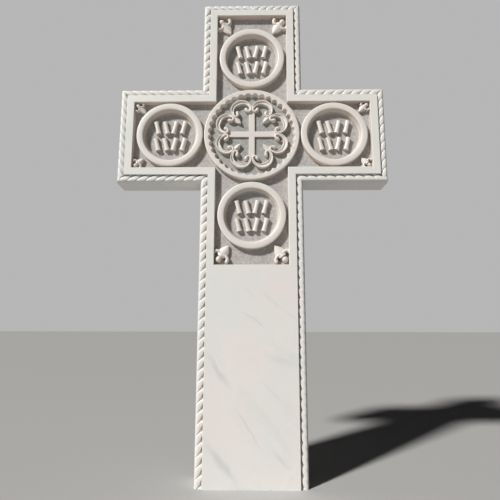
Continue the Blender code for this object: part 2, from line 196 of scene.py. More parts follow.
# Lilies in the corners of the panel, as shares of the way from the corner to the ring
LILY_SETBACK = 0.0030
LILY_ROOT = 0.13
LILY_JOINT = 0.38
LILY_TIP = 0.86
LILY_SQUARENESS = 1.8
PETAL_HALF_WIDTH = 0.185
PETAL_DROP = 0.40
PETAL_CROWN = 0.0044
BUD_HALF_WIDTH = 0.11
BUD_SETBACK = 0.0006
COLLAR_PAST_JOINT = 0.02
COLLAR_SIZE = 0.12, 0.20
COLLAR_RISE = 0.0006
VOLUTE_BULGE = 0.11
VOLUTE_SPREAD = 0.145
VOLUTE_HALF_WIDTH = 0.055
VOLUTE_TURN = pi * 1.05
VOLUTE_STEPS = 12
VOLUTE_SETBACK = 0.0014
VOLUTE_CROWN = 0.0030
VOLUTE_KNOB_SIZE = 0.15, 0.14
VOLUTE_KNOB_SETBACK = 0.0010
DRILL_PLACE = 0.365, 0.18
DRILL_SHARE = 0.05
DRILL_DEPTH = 0.0045
DRILL_SIDES = 16


# Mesh helpers

def new_collection(name):
    collection = bpy.data.collections.new(name)
    bpy.context.scene.collection.children.link(collection)
    return collection


def point_on_panel(x, z, height):
    """A point at x, z measured from the crossing, standing height above the panel's floor."""
    return Vector((x, FLOOR - height, CROSSING_HEIGHT + z))


def how_sunken(point):
    """0 on the fillet, the sides and the back, 1 on the panel's floor and in the rope's notches."""
    x, z = abs(point.x), point.z - CROSSING_HEIGHT
    outside = min(max(x - HALF_SHAFT, z - HEAD_LENGTH), max(x - HALF_SPAN, abs(z) - HALF_ARM))
    if outside > ROPE_OFFSET or point.y > FLOOR + ROOT:
        return 0.0
    if outside > -FILLET_WIDTH / 2:
        return min(1.0, max(0.0, (point.y - FRONT - WEB_SETBACK) / ROPE_RADIUS))
    inside_medallion = hypot(x, z) < MEDALLION_RADIUS - MEDALLION_RIM_WIDTH / 2
    floor_depth = PANEL_DEPTH - MEDALLION_FLOOR_RISE if inside_medallion else PANEL_DEPTH
    least = FORM_TONE if outside < -FILLET_WIDTH else 0.0
    return min(1.0, max(least, (point.y - FRONT) / floor_depth))


def solid(name, bm, collection):
    """Turn a finished bmesh into an object of triangles that face outwards."""
    bmesh.ops.recalc_face_normals(bm, faces=bm.faces)
    bm.normal_update()
    bmesh.ops.triangulate(bm, faces=bm.faces, ngon_method="EAR_CLIP")
    if bm.calc_volume(signed=True) < 0.0:
        bmesh.ops.reverse_faces(bm, faces=bm.faces)
    mesh = bpy.data.meshes.new(name)
    bm.to_mesh(mesh)
    bm.free()
    item = bpy.data.objects.new(name, mesh)
    collection.objects.link(item)
    return item


def bridge(bm, rings):
    """Faces between each ring of vertices and the next."""
    for near, far in zip(rings, rings[1:]):
        for k in range(len(near)):
            following = (k + 1) % len(near)
            bm.faces.new((near[k], near[following], far[following], far[k]))


def loft(name, sections, collection, closed=False):
    """A closed solid through a row of closed sections, or round a ring of them."""
    bm = bmesh.new()
    rings = [[bm.verts.new(point) for point in section] for section in sections]
    if closed:
        rings.append(rings[0])
    else:
        bm.faces.new(rings[0])
        bm.faces.new(rings[-1])
    bridge(bm, rings)
    return solid(name, bm, collection)


def stacked(name, outline_at, levels, collection):
    """A solid through the same outline at several levels of (grow, y)."""
    sections = [[Vector((x, y, z)) for x, z in outline_at(grow)] for grow, y in levels]
    return loft(name, sections, collection)


def turned(name, profile_at, x, z, steps, collection):
    """A ring about an axis along Y, from the profile of (radius, height) at each turn."""
    sections = []
    for step in range(steps):
        turn = 2 * pi * step / steps
        sections.append([
            point_on_panel(x + radius * cos(turn), z + radius * sin(turn), height)
            for radius, height in profile_at(turn)
        ])
    return loft(name, sections, collection, closed=True)


def ridge(name, path, section_at, collection):
    """A raised band along a path on the panel, with a section of (side, height) at each point."""
    sections = []
    for k, (x, z) in enumerate(path):
        before = path[max(k - 1, 0)]
        after = path[min(k + 1, len(path) - 1)]
        heading = atan2(after[1] - before[1], after[0] - before[0])
        sections.append([
            point_on_panel(x - side * sin(heading), z + side * cos(heading), height)
            for side, height in section_at(k)
        ])
    return loft(name, sections, collection)


def rounded_section(half, height, crown, power=2.0):
    """A band with upright walls and a crowned top."""
    shares = (-1.0, -0.92, -0.75, -0.5, -0.25, 0.0, 0.25, 0.5, 0.75, 0.92, 1.0)
    top = [(half * share, height - crown * abs(share) ** power) for share in shares]
    return [(-half, -ROOT)] + top + [(half, -ROOT)]


def disc(name, x, z, radius, top, bottom, sides, collection):
    """A round plate or cutter from a height above the panel's floor to one below it."""
    sections = []
    for height in (top, bottom):
        turns = [2 * pi * k / sides for k in range(sides)]
        sections.append([point_on_panel(x + radius * cos(t), z + radius * sin(t), height) for t in turns])
    return loft(name, sections, collection)


def dome(name, x, z, length, width, heading, height, collection):
    """A small oval boss with a round top."""
    sections = []
    for lift in (-90.0, 0.0, 25.0, 50.0, 72.0):
        spread = max(cos(radians(lift)), 1.0 if lift < 0 else 0.0)
        rise = -ROOT if lift < 0 else height - width / 2 * (1.0 - sin(radians(lift)))
        section = []
        for k in range(DOME_SIDES):
            turn = 2 * pi * k / DOME_SIDES
            along = length / 2 * spread * cos(turn)
            across = width / 2 * spread * sin(turn)
            section.append(point_on_panel(
                x + along * cos(heading) - across * sin(heading),
                z + along * sin(heading) + across * cos(heading),
                rise,
            ))
        sections.append(section)
    return loft(name, sections, collection)


# The slab and its rope

def cross_outline(half_shaft, half_span, half_arm, head, foot):
    """The twelve corners of a Latin cross, with heights above the foot's plane."""
    upper = CROSSING_HEIGHT + half_arm
    lower = CROSSING_HEIGHT - half_arm
    left = [
        (-half_shaft, foot),
        (-half_shaft, lower),
        (-half_span, lower),
        (-half_span, upper),
        (-half_shaft, upper),
        (-half_shaft, CROSSING_HEIGHT + head),
    ]
    return left + [(-x, z) for x, z in reversed(left)]


def panel_outline(grow):
    """The sunken panel's outline, grown outwards."""
    return cross_outline(
        PANEL_HALF_SHAFT + grow, PANEL_HALF_SPAN + grow, PANEL_HALF_ARM + grow,
        PANEL_HEAD + grow, CROSSING_HEIGHT - PANEL_TAIL - grow,
    )


def panel_levels():
    """The panel's wall from the face down to its floor, as (grow, y), with an eased top edge."""
    levels = []
    for turn in (0.0, radians(20), radians(45), radians(70), radians(90)):
        levels.append((EASE * (1.0 - sin(turn)), FRONT + EASE * (1.0 - cos(turn))))
    for turn in (0.0, radians(30), radians(60), radians(90)):
        levels.append((
            -WALL_SLOPE - FLOOR_EASE * (1.0 - cos(turn)),
            FLOOR - FLOOR_EASE * (1.0 - sin(turn)),
        ))
    return levels


def rope_runs():
    """The rope's straight runs from the left foot over the head to the right foot.

    Each run has its start, direction, way outwards, length, number of beads and lean, and how far
    a point slides along the run for each metre outwards where the run is mitred at either end.
    """
    axis = cross_outline(
        HALF_SHAFT + ROPE_OFFSET, HALF_SPAN + ROPE_OFFSET, HALF_ARM + ROPE_OFFSET,
        HEAD_LENGTH + ROPE_OFFSET, FOOT,
    )
    axis = [Vector(corner) for corner in axis]
    head_middle = len(axis) // 2
    axis.insert(head_middle, Vector((0.0, axis[head_middle].y)))
    leans_left = [1, -1, -1, 1, 1, 1]
    leans = leans_left + [-lean for lean in reversed(leans_left)]
    runs = []
    for k, (start, end, lean) in enumerate(zip(axis, axis[1:], leans)):
        direction = (end - start).normalized()
        over_head = k in (head_middle - 1, head_middle)
        pitch = HEAD_ROPE_PITCH if over_head else ROPE_PITCH
        runs.append({
            "start": start,
            "direction": direction,
            "outwards": Vector((-direction.y, direction.x)),
            "length": (end - start).length,
            "beads": max(1, round((end - start).length / pitch)),
            "lean": lean,
            "wear": HEAD_ROPE_WEAR if over_head else ROPE_OUTER_WEAR,
            "start_slide": 0.0,
            "end_slide": 0.0,
            "starts_corner": k != head_middle,
        })
    for run, following in zip(runs, runs[1:]):
        run["end_slide"] = following["outwards"].dot(run["direction"])
        following["start_slide"] = run["outwards"].dot(following["direction"])
    return runs


def along_run(run, step, offset):
    """How far along its run a point at this step and offset lies, slid onto the mitres."""
    along = run["length"] * step / (run["beads"] * STRAND_STEPS)
    near_start = max(0.0, 1.0 - along / ROPE_PITCH)
    near_end = max(0.0, 1.0 - (run["length"] - along) / ROPE_PITCH)
    return along + offset * (run["start_slide"] * near_start + run["end_slide"] * near_end)


def inner_share(turn):
    """0 on the rope's front and outer side, rising to 1 where it meets the fillet's wall."""
    return max(0.0, turn - pi / 2) / (pi / 2)


def strand_swell(run, step, turn):
    """How full the twisted rope is at a turn round it: 1 on a strand, 0 between two."""
    along = along_run(run, step, ROPE_RADIUS * cos(turn)) / run["length"] * run["beads"]
    swell = abs(cos(pi * (turn / (2 * pi / ROPE_STRANDS) - run["lean"] * along)))
    return swell ** (STRAND_FULLNESS + (NOTCH_FULLNESS - STRAND_FULLNESS) * inner_share(turn))


def rope_point(outer_wear, turn, swell):
    """The rope's surface as (offset, y).

    It is worn outside, and a shallow web fills each strand out to the wall on the inner side.
    """
    wear = 1.0 - outer_wear * max(0.0, cos(turn)) ** WEAR_REACH
    radius = ROPE_RADIUS - ROPE_GROOVE * (1.0 - swell) * wear
    y = FRONT + ROPE_SETBACK + ROPE_RADIUS - radius * sin(turn)
    web = FRONT + ROPE_SETBACK + (WEB_SETBACK - ROPE_SETBACK) * inner_share(turn) ** 2
    filled = swell if turn > pi / 2 else swell * sin(turn) ** 2
    return radius * cos(turn), y + (min(y, web) - y) * filled


def rope_edged_slab(collection):
    """The cross with its rope, fillet and sunken panel, as one closed surface with no carving yet."""
    runs = rope_runs()
    depth = FRONT + ROPE_SETBACK + ROPE_RADIUS
    quarter = 360.0 / ROPE_STRANDS / STRAND_STEPS
    span = INNER_TURN - OUTER_TURN
    turn_count = round(span / quarter)
    turns = [radians(INNER_TURN - span * k / turn_count) for k in range(turn_count + 1)]
    bm = bmesh.new()

    def vertex(run, step, offset, y):
        along = along_run(run, step, offset)
        place = run["start"] + run["direction"] * along + run["outwards"] * offset
        return bm.verts.new((place.x, y, place.y))

    rows = []
    leans = []
    corner_rows = []
    corners = []
    for k, run in enumerate(runs):
        steps = run["beads"] * STRAND_STEPS
        if run["starts_corner"]:
            corner_rows.append(len(rows))
            corners.append((run, 0))
        for step in range(steps + (1 if k == len(runs) - 1 else 0)):
            swells = [strand_swell(run, step, turn) for turn in turns]
            if step == 0 and k > 0:
                before = runs[k - 1]
                last = before["beads"] * STRAND_STEPS
                ends = [strand_swell(before, last, turn) for turn in turns]
                swells = [(swell + end) / 2 for swell, end in zip(swells, ends)]
            notch = depth + GROOVE_BELOW_ROPE
            wall_foot = notch + (FRONT + WEB_SETBACK - notch) * swells[0]
            row = [vertex(run, step, -ROPE_OFFSET, wall_foot)]
            for turn, swell in zip(turns, swells):
                row.append(vertex(run, step, *rope_point(run["wear"], turn, swell)))
            row.append(vertex(run, step, SIDE_REACH, depth + SIDE_BELOW_ROPE))
            rows.append(row)
            leans.append(run["lean"])
    last_step = runs[-1]["beads"] * STRAND_STEPS
    corner_rows.append(len(rows) - 1)
    corners.append((runs[-1], last_step))

    for near, far, lean in zip(rows, rows[1:], leans):
        for k in range(len(near) - 1):
            if lean > 0:
                bm.faces.new((near[k], near[k + 1], far[k]))
                bm.faces.new((near[k + 1], far[k + 1], far[k]))
            else:
                bm.faces.new((near[k], near[k + 1], far[k + 1]))
                bm.faces.new((near[k], far[k + 1], far[k]))

    front_levels = [
        (-ROPE_OFFSET - EASE * (1.0 - sin(turn)), FRONT + EASE * (1.0 - cos(turn)))
        for turn in (0.0, pi / 6, pi / 3, pi / 2)
    ]
    back_levels = [
        (SIDE_REACH - BACK_EASE * (1.0 - cos(turn)), BACK - BACK_EASE * (1.0 - sin(turn)))
        for turn in (0.0, pi / 6, pi / 3, pi / 2)
    ]
    fronts = [[vertex(run, step, offset, y) for offset, y in front_levels] for run, step in corners]
    backs = [[vertex(run, step, offset, y) for offset, y in back_levels] for run, step in corners]
    rings = [[levels[0] for levels in fronts]]
    for grow, y in panel_levels():
        rings.append([bm.verts.new((x, y, z)) for x, z in panel_outline(grow)])
    bridge(bm, rings)
    bm.faces.new(rings[-1])
    bm.faces.new([levels[-1] for levels in backs])
    for k, (first, last) in enumerate(zip(corner_rows, corner_rows[1:])):
        for levels in (fronts, backs):
            near, far = levels[k], levels[k + 1]
            for level in range(len(near) - 1):
                bm.faces.new((near[level], near[level + 1], far[level + 1], far[level]))
        for flat, edge in ((fronts, 0), (backs, -1)):
            level = -1 if flat is fronts else 0
            foot = [rows[row][edge] for row in range(last, first - 1, -1)]
            bm.faces.new([flat[k][level], flat[k + 1][level]] + foot)
    left_foot = fronts[0] + rows[0] + backs[0]
    right_foot = backs[-1][::-1] + rows[-1][::-1] + fronts[-1][::-1]
    bm.faces.new(left_foot + right_foot)
    return solid(NODE + "_carved", bm, collection)


# Carved forms

def rim_profile(outer, rim):
    """Across a rim from its outer foot over the softly rounded crest to its inner shoulder."""
    middle = outer - rim / 2
    points = [(outer + spread, height) for spread, height in RIM_FOOT]
    for step in range(RIM_STEPS + 1):
        turn = pi * step / RIM_STEPS
        sideways = abs(cos(turn)) ** RIM_SQUARENESS * (1 if step < RIM_STEPS / 2 else -1)
        lift = sin(turn) ** RIM_SQUARENESS if 0 < step < RIM_STEPS else 0.0
        points.append((middle + rim / 2 * sideways, PANEL_DEPTH - RIM_CROWN * (1.0 - lift)))
    return points


def roundel_profile(turn):
    """A roundel's rim, with a cove down to its sunken middle."""
    profile = rim_profile(ROUNDEL_RADIUS, ROUNDEL_RIM_WIDTH)
    shoulder, top = profile[-1]
    for share in COVE_SHARES:
        height = (top + ROUNDEL_SINK) * (1.0 - share) ** COVE_HOLLOW - ROUNDEL_SINK
        profile.append((shoulder - ROUNDEL_SLOPE_WIDTH * share, height))
    foot = -ROUNDEL_SINK - COVE_FOOT_DROP
    return profile + [(ROUNDEL_FLOOR_RADIUS, foot), (ROUNDEL_FLOOR_RADIUS, -ROOT)]


def medallion_profile(turn):
    """The medallion's rim, its inner edge gouged between sharp cusps that reach up to the face."""
    swell = abs(sin(SCALLOPS / 2 * turn))
    edge = MEDALLION_RADIUS - MEDALLION_RIM_WIDTH - SCALLOP_DEPTH * (1.0 - swell)
    foot = MEDALLION_FLOOR_RADIUS + SCALLOP_DEPTH * swell
    profile = [(MEDALLION_RADIUS + spread, height) for spread, height in RIM_FOOT]
    for inwards, drop in RIM_SHOULDER:
        profile.append((MEDALLION_RADIUS - inwards, PANEL_DEPTH - drop))
    profile += [(edge + outwards, PANEL_DEPTH - drop) for outwards, drop in SCALLOP_EDGE]
    for share in SCALLOP_SHARES:
        height = (PANEL_DEPTH - SCALLOP_EDGE_DROP) * (1.0 - share)
        profile.append((edge + (foot - edge) * share, height))
    return profile


def inner_cross_outline(grow):
    """The medallion's small cross, whose arms run out under the scrolls."""
    reach = scroll_reach() + grow
    half = BAR_WIDTH / 2 + grow
    quarter = [(-reach, half), (-half, half), (-half, reach)]
    upper = quarter + [(-x, z) for x, z in reversed(quarter)]
    outline = upper + [(x, -z) for x, z in reversed(upper)]
    return [(x, CROSSING_HEIGHT + MEDALLION_INSIDE_RISE + z) for x, z in outline]


def scroll_centre():
    """How far the scrolls' centres are from the crossing, so that each lobe meets its neighbours."""
    return (MEDALLION_FLOOR_RADIUS - SCROLL_RIM_GAP) / (1 + sin(pi / SCROLLS))


def scroll_radius():
    """A scroll's outer radius, which laps its neighbour a little."""
    return scroll_centre() * sin(pi / SCROLLS) + SCROLL_OVERLAP


def scroll_reach():
    """How far the small cross's arms reach from the crossing."""
    return scroll_centre() + scroll_radius() / 4


def scroll_half():
    """Half of a C-scroll about its centre, as (x, z, share of the full band)."""
    middle = scroll_radius() - SCROLL_BAND / 2
    points = []
    for step in range(17):
        share = step / 16
        turn = SCROLL_TURN * share
        radius = middle + share * (SCROLL_BAND - SCROLL_END_BAND) / 2
        points.append((radius * cos(turn), radius * sin(turn), 1.0 - share))
    radius = middle + (SCROLL_BAND - SCROLL_END_BAND) / 2 - HOOK_RADIUS
    centre = radius * cos(SCROLL_TURN), radius * sin(SCROLL_TURN)
    for step in range(1, 9):
        turn = SCROLL_TURN + HOOK_TURN * step / 8
        points.append((centre[0] + HOOK_RADIUS * cos(turn), centre[1] + HOOK_RADIUS * sin(turn), 0.0))
    return points


def scroll_section(share):
    """Across a scroll from its inner to its outer edge: a low ridge, a hollow and a high ridge."""
    half = (SCROLL_END_BAND + (SCROLL_BAND - SCROLL_END_BAND) * share) / 2
    height = PANEL_DEPTH - SCROLL_SETBACK
    round_top = (0.0030, 0.0012, 0.0006, 0.0002, 0.0, 0.0, 0.0002, 0.0006, 0.0012, 0.0030)
    channel = (1.40, 0.75, 0.50, 0.85, 1.20, 1.15, 0.60, 0.05, 0.0, 0.40)
    sides = (-1.0, -0.84, -0.64, -0.40, -0.12, 0.16, 0.38, 0.54, 0.88, 1.0)
    hollow = min(1.0, share * SCROLL_FADE)
    section = [(-half, -ROOT)]
    for side, worn, sunk in zip(sides, round_top, channel):
        drop = worn * (1.0 - hollow) + SCROLL_CHANNEL * sunk * hollow
        section.append((half * side, height - drop))
    return section + [(half, -ROOT)]


def medallion_scrolls(collection):
    """C-scrolls that close on each other, and a leaf bud on each diagonal."""
    height = PANEL_DEPTH - SCROLL_SETBACK
    half = scroll_half()
    whole = [(x, -z, share) for x, z, share in reversed(half[1:])] + half
    for k in range(SCROLLS):
        outward = (k + 0.5) * 2 * pi / SCROLLS

        def placed(x, z):
            return (
                (scroll_centre() + x) * cos(outward) - z * sin(outward),
                (scroll_centre() + x) * sin(outward) + z * cos(outward) + MEDALLION_INSIDE_RISE,
            )

        path = [placed(x, z) for x, z, _ in whole]
        shares = [share for _, _, share in whole]
        ridge(f"scroll_{k}", path, lambda j: [
            (-side, rise) for side, rise in scroll_section(shares[j])
        ], collection)
        for side, (end, inner) in enumerate(((path[0], path[2]), (path[-1], path[-3]))):
            heading = atan2(end[1] - inner[1], end[0] - inner[0])
            dome(f"scroll_knob_{k}_{side}", *end, KNOB_LENGTH, KNOB_WIDTH, heading, height, collection)
    base = scroll_centre() * cos(pi / SCROLLS)
    for k in range(4):
        outward = pi / 4 + k * pi / 2
        steps = 12
        path = []
        widths = []
        for step in range(steps + 1):
            share = step / steps
            radius = base - LEAF_BUD_LENGTH * share
            path.append((radius * cos(outward), radius * sin(outward) + MEDALLION_INSIDE_RISE))
            widths.append(LEAF_BUD_WIDTH / 2 * max(0.06, leaf_width(share)))
        ridge(f"leaf_bud_{k}", path, lambda j: rounded_section(
            widths[j], height - LEAF_BUD_SETBACK, LEAF_BUD_CROWN * widths[j] / LEAF_BUD_WIDTH * 2,
            LEAF_BUD_SQUARENESS), collection)


def leaf_width(share):
    """The width of a pointed leaf along its length, widest before its middle."""
    return sin(pi * min(1.0, 0.12 + 0.88 * share) ** 0.8) ** 0.9 if share < 1.0 else 0.0


def roundel_strokes(name, x, z, collection):
    """Two rows of slanted strokes with flared ends, the right half mirroring the left."""
    steps = 10
    for row in (-1, 1):
        for k in range(STROKES_PER_ROW):
            place = (k - (STROKES_PER_ROW - 1) / 2) * STROKE_SPACING
            lean = STROKE_LEAN if place > 0 else -STROKE_LEAN
            path = []
            widths = []
            for step in range(steps + 1):
                reach = step / steps - 0.5
                path.append((
                    x + place + reach * STROKE_LENGTH * sin(lean),
                    z + row * STROKE_SPACING + reach * STROKE_LENGTH * cos(lean),
                ))
                flare = 1.0 + (STROKE_FLARE - 1.0) * abs(2 * reach) ** 4
                widths.append(STROKE_WIDTH / 2 * flare)
            ridge(f"{name}_stroke_{row}_{k}", path, lambda j: rounded_section(
                widths[j], STROKE_HEIGHT, STROKE_CROWN, STROKE_SQUARENESS), collection)


def lily(name, corner, ring, carving, drills):
    """A lily on the diagonal from a corner of the panel towards the ring beside it."""
    along = Vector((ring[0] - corner[0], ring[1] - corner[1]))
    free = along.length - ROUNDEL_RADIUS
    across = Vector((-along.y, along.x)).normalized()
    along.normalize()
    height = PANEL_DEPTH - LILY_SETBACK

    def placed(forward, sideways):
        return tuple(Vector(corner) + (along * forward + across * sideways) * free)

    steps = 14
    petal = []
    widths = []
    for step in range(steps + 1):
        share = step / steps
        petal.append(placed(LILY_JOINT + (LILY_TIP - LILY_JOINT) * share, 0.0))
        widths.append(free * PETAL_HALF_WIDTH * max(0.05, leaf_width(share)))
    ridge(name + "_petal", petal, lambda j: rounded_section(
        widths[j], height * (1.0 - PETAL_DROP * j / steps),
        PETAL_CROWN * widths[j] / (free * PETAL_HALF_WIDTH), LILY_SQUARENESS), carving)
    heading = atan2(along.y, along.x)
    bud = placed((LILY_ROOT + LILY_JOINT) / 2, 0.0)
    dome(name + "_bud", *bud, free * (LILY_JOINT - LILY_ROOT), free * BUD_HALF_WIDTH * 2,
         heading, height - BUD_SETBACK, carving)
    collar = placed(LILY_JOINT + COLLAR_PAST_JOINT, 0.0)
    dome(name + "_collar", *collar, free * COLLAR_SIZE[0], free * COLLAR_SIZE[1],
         heading, height + COLLAR_RISE, carving)
    for side in (-1, 1):
        turns = [VOLUTE_TURN * step / VOLUTE_STEPS for step in range(VOLUTE_STEPS + 1)]
        volute = [
            placed(LILY_JOINT + VOLUTE_BULGE * sin(turn), side * VOLUTE_SPREAD * (1.0 - cos(turn)))
            for turn in turns
        ]
        ridge(f"{name}_volute_{side}", volute, lambda j: rounded_section(
            free * VOLUTE_HALF_WIDTH * (0.7 + 0.5 * j / VOLUTE_STEPS), height - VOLUTE_SETBACK,
            VOLUTE_CROWN, LILY_SQUARENESS), carving)
        dome(f"{name}_knob_{side}", *volute[-1], free * VOLUTE_KNOB_SIZE[0], free * VOLUTE_KNOB_SIZE[1],
             heading, height - VOLUTE_KNOB_SETBACK, carving)
        disc(f"{name}_drill_{side}", *placed(DRILL_PLACE[0], side * DRILL_PLACE[1]), free * DRILL_SHARE,
             CUTTER_TOP, -DRILL_DEPTH, DRILL_SIDES, drills)


def combine(target, operation, collection):
    """Join a collection's solids to the target, or cut them from it, with a Boolean modifier."""
    step = target.modifiers.new(collection.name, "BOOLEAN")
    step.operation = operation
    step.solver = "MANIFOLD"
    step.operand_type = "COLLECTION"
    step.collection = collection


def carved_cross():
    """The whole cross as one closed mesh."""
    shown = new_collection("Marble cross")
    roundel_middles = new_collection("Roundel middles")
    carving = new_collection("Carved forms")
    drills = new_collection("Drilled holes")
    cross = rope_edged_slab(shown)
    turned("medallion_rim", medallion_profile, 0.0, 0.0, SCALLOPS * SCALLOP_STEPS, carving)
    disc("medallion_floor", 0.0, 0.0, MEDALLION_RADIUS - MEDALLION_RIM_WIDTH / 2,
         MEDALLION_FLOOR_RISE, -ROOT / 2, RING_STEPS, carving)
    medallion_scrolls(carving)
    bar_top = FRONT + BAR_SETBACK
    bar_levels = [(0.0, FLOOR + ROOT)] + [(grow, bar_top + drop) for grow, drop in BAR_EDGE]
    stacked("inner_cross", inner_cross_outline, bar_levels, carving)
    roundels = {
        "left": (-ROUNDEL_ACROSS, 0.0),
        "right": (ROUNDEL_ACROSS, 0.0),
        "upper": (0.0, ROUNDEL_ABOVE),
        "lower": (0.0, -ROUNDEL_BELOW),
    }
    for name, (x, z) in roundels.items():
        disc(f"roundel_{name}_sinking", x, z, ROUNDEL_RADIUS - ROUNDEL_RIM_WIDTH, ROUNDEL_SINK,
             -ROUNDEL_SINK, RING_STEPS, roundel_middles)
        turned(f"roundel_{name}", roundel_profile, x, z, RING_STEPS, carving)
        roundel_strokes(f"roundel_{name}", x, z, carving)
    for side in (-1, 1):
        hand = "left" if side < 0 else "right"
        head_corner = side * PANEL_HALF_SHAFT, PANEL_HEAD
        tail_corner = side * PANEL_HALF_SHAFT, -PANEL_TAIL
        lily(f"lily_head_{hand}", head_corner, roundels["upper"], carving, drills)
        lily(f"lily_tail_{hand}", tail_corner, roundels["lower"], carving, drills)
        for level in (-1, 1):
            corner = side * PANEL_HALF_SPAN, level * PANEL_HALF_ARM
            lily(f"lily_arm_{hand}_{level}", corner, roundels[hand], carving, drills)
    combine(cross, "DIFFERENCE", roundel_middles)
    combine(cross, "UNION", carving)
    combine(cross, "DIFFERENCE", drills)
    evaluated = cross.evaluated_get(bpy.context.evaluated_depsgraph_get())
    mesh = bpy.data.meshes.new_from_object(evaluated)
    cross.modifiers.clear()
    cross.data = mesh
    for collection in (roundel_middles, carving, drills):
        for item in list(collection.objects):
            bpy.data.objects.remove(item, do_unlink=True)
        bpy.data.collections.remove(collection)
    sunken = mesh.attributes.new("sunken", "FLOAT", "POINT")
    sunken.data.foreach_set("value", [how_sunken(vertex.co) for vertex in mesh.vertices])
    mesh.shade_smooth()
    mesh.set_sharp_from_angle(angle=SHARP_ANGLE)
    weighted = cross.modifiers.new("even_flats", "WEIGHTED_NORMAL")
    weighted.keep_sharp = True
    return cross


# Marble

class Nodes:
    """Short names for building a material's node tree."""

    def __init__(self, tree):
        self.tree = tree

    def add(self, kind, inputs=None, **settings):
        made = self.tree.nodes.new(kind)
        for name, value in settings.items():
            setattr(made, name, value)
        for name, value in (inputs or {}).items():
            self.feed(made.inputs[name], value)
        return made

    def feed(self, socket, value):
        if isinstance(value, bpy.types.NodeSocket):
            self.tree.links.new(value, socket)
        else:
            socket.default_value = value

    def noise(self, place, scale, detail=3.0, distortion=0.0):
        made = self.add("ShaderNodeTexNoise", {
            "Vector": place, "Scale": scale, "Detail": detail, "Distortion": distortion,
        })
        return made.outputs["Fac"]

    def remap(self, value, low, high, to_low=0.0, to_high=1.0):
        made = self.add("ShaderNodeMapRange", {
            "Value": value, "From Min": low, "From Max": high, "To Min": to_low, "To Max": to_high,
        })
        return made.outputs["Result"]

    def maths(self, operation, first, second=0.0):
        made = self.add("ShaderNodeMath", operation=operation)
        self.feed(made.inputs[0], first)
        self.feed(made.inputs[1], second)
        return made.outputs[0]

    def mix(self, share, first, second):
        made = self.add("ShaderNodeMix", data_type="RGBA")
        self.feed(made.inputs["Factor"], share)
        self.feed(made.inputs["A"], first)
        self.feed(made.inputs["B"], second)
        return made.outputs["Result"]


WARM_WHITE = 0.80, 0.775, 0.74, 1.0
COOL_WHITE = 0.745, 0.755, 0.735, 1.0
PINK_WHITE = 0.80, 0.745, 0.725, 1.0
VEIN_GREY = 0.50, 0.51, 0.52, 1.0
FLOOR_GREY = 0.40, 0.385, 0.375, 1.0
MEDALLION_GREY = 0.36, 0.36, 0.345, 1.0
# Tan painted on the walls in the relief as warm bounce shade, and a light tan tint on the carved forms
WARM_TINT_AND_PAINTED_BOUNCE_TAN = 0.70, 0.58, 0.49, 1.0
VEIN_SLANT = radians(-38)
VEIN_WANDER = 0.022
BLUSH_SHARE = 0.40
VEIN_SHARE = 0.30
SMUDGE_SHARE = 0.22
FORM_SHARE = 0.22
FLOOR_SHARE = 0.85
FLOOR_ROUGHNESS = 0.28
BUMP_STRENGTH = 0.55
BUMP_DISTANCE = 0.0012

# Noise scales, from the clouds down to the grain
CLOUD_SCALE = 5.0
PATCH_SCALE = 6.0
BLUSH_SCALE = 7.0
VEIN_SCALE = 7.0
SMUDGE_SCALE = 14.0
WANDER_SCALE = 24.0
WORN_SCALE = 60.0
GRIT_SCALE = 170.0
TOOLING_SCALE = 260.0
GRAIN_SCALE = 900.0

# Grey veins on the shaft: across, up, slant, half length, half width, strength
VEINS = [
    (-0.075, 0.250, radians(-54), 0.054, 0.0085, 0.46),
    (-0.009, 0.129, radians(-57), 0.064, 0.0036, 0.34),
    (-0.067, 0.055, radians(-50), 0.068, 0.0110, 0.50),
    (0.006, 0.367, radians(-35), 0.034, 0.0040, 0.34),
    (0.069, 0.275, radians(-18), 0.050, 0.0130, 0.24),
    (0.049, 0.202, radians(-49), 0.038, 0.0040, 0.28),
    (0.066, 0.063, radians(-36), 0.032, 0.0085, 0.34),
]
# Pink patches, in the same order
BLUSHES = [
    (-0.010, 0.290, 0.0, 0.052, 0.062, 0.9),
    (0.066, 0.440, 0.0, 0.080, 0.075, 0.9),
]


def marks(nodes, place, kinds):
    """How strongly a point lies on the soft-edged marks of one kind."""
    total = 0.0
    for across, up, slant, half_length, half_width, strength in kinds:
        local = nodes.add("ShaderNodeMapping", {
            "Vector": place, "Location": (across, 0.0, up), "Rotation": (0.0, -slant, 0.0),
            "Scale": (half_length, 1.0, half_width),
        }, vector_type="TEXTURE")
        parts = nodes.add("ShaderNodeSeparateXYZ", {"Vector": local.outputs["Vector"]})
        along = nodes.remap(nodes.maths("ABSOLUTE", parts.outputs["X"]), 0.3, 1.0, strength, 0.0)
        beside = nodes.remap(nodes.maths("ABSOLUTE", parts.outputs["Z"]), 0.0, 1.0, 1.0, 0.0)
        total = nodes.maths("MAXIMUM", nodes.maths("MULTIPLY", along, beside), total)
    return total


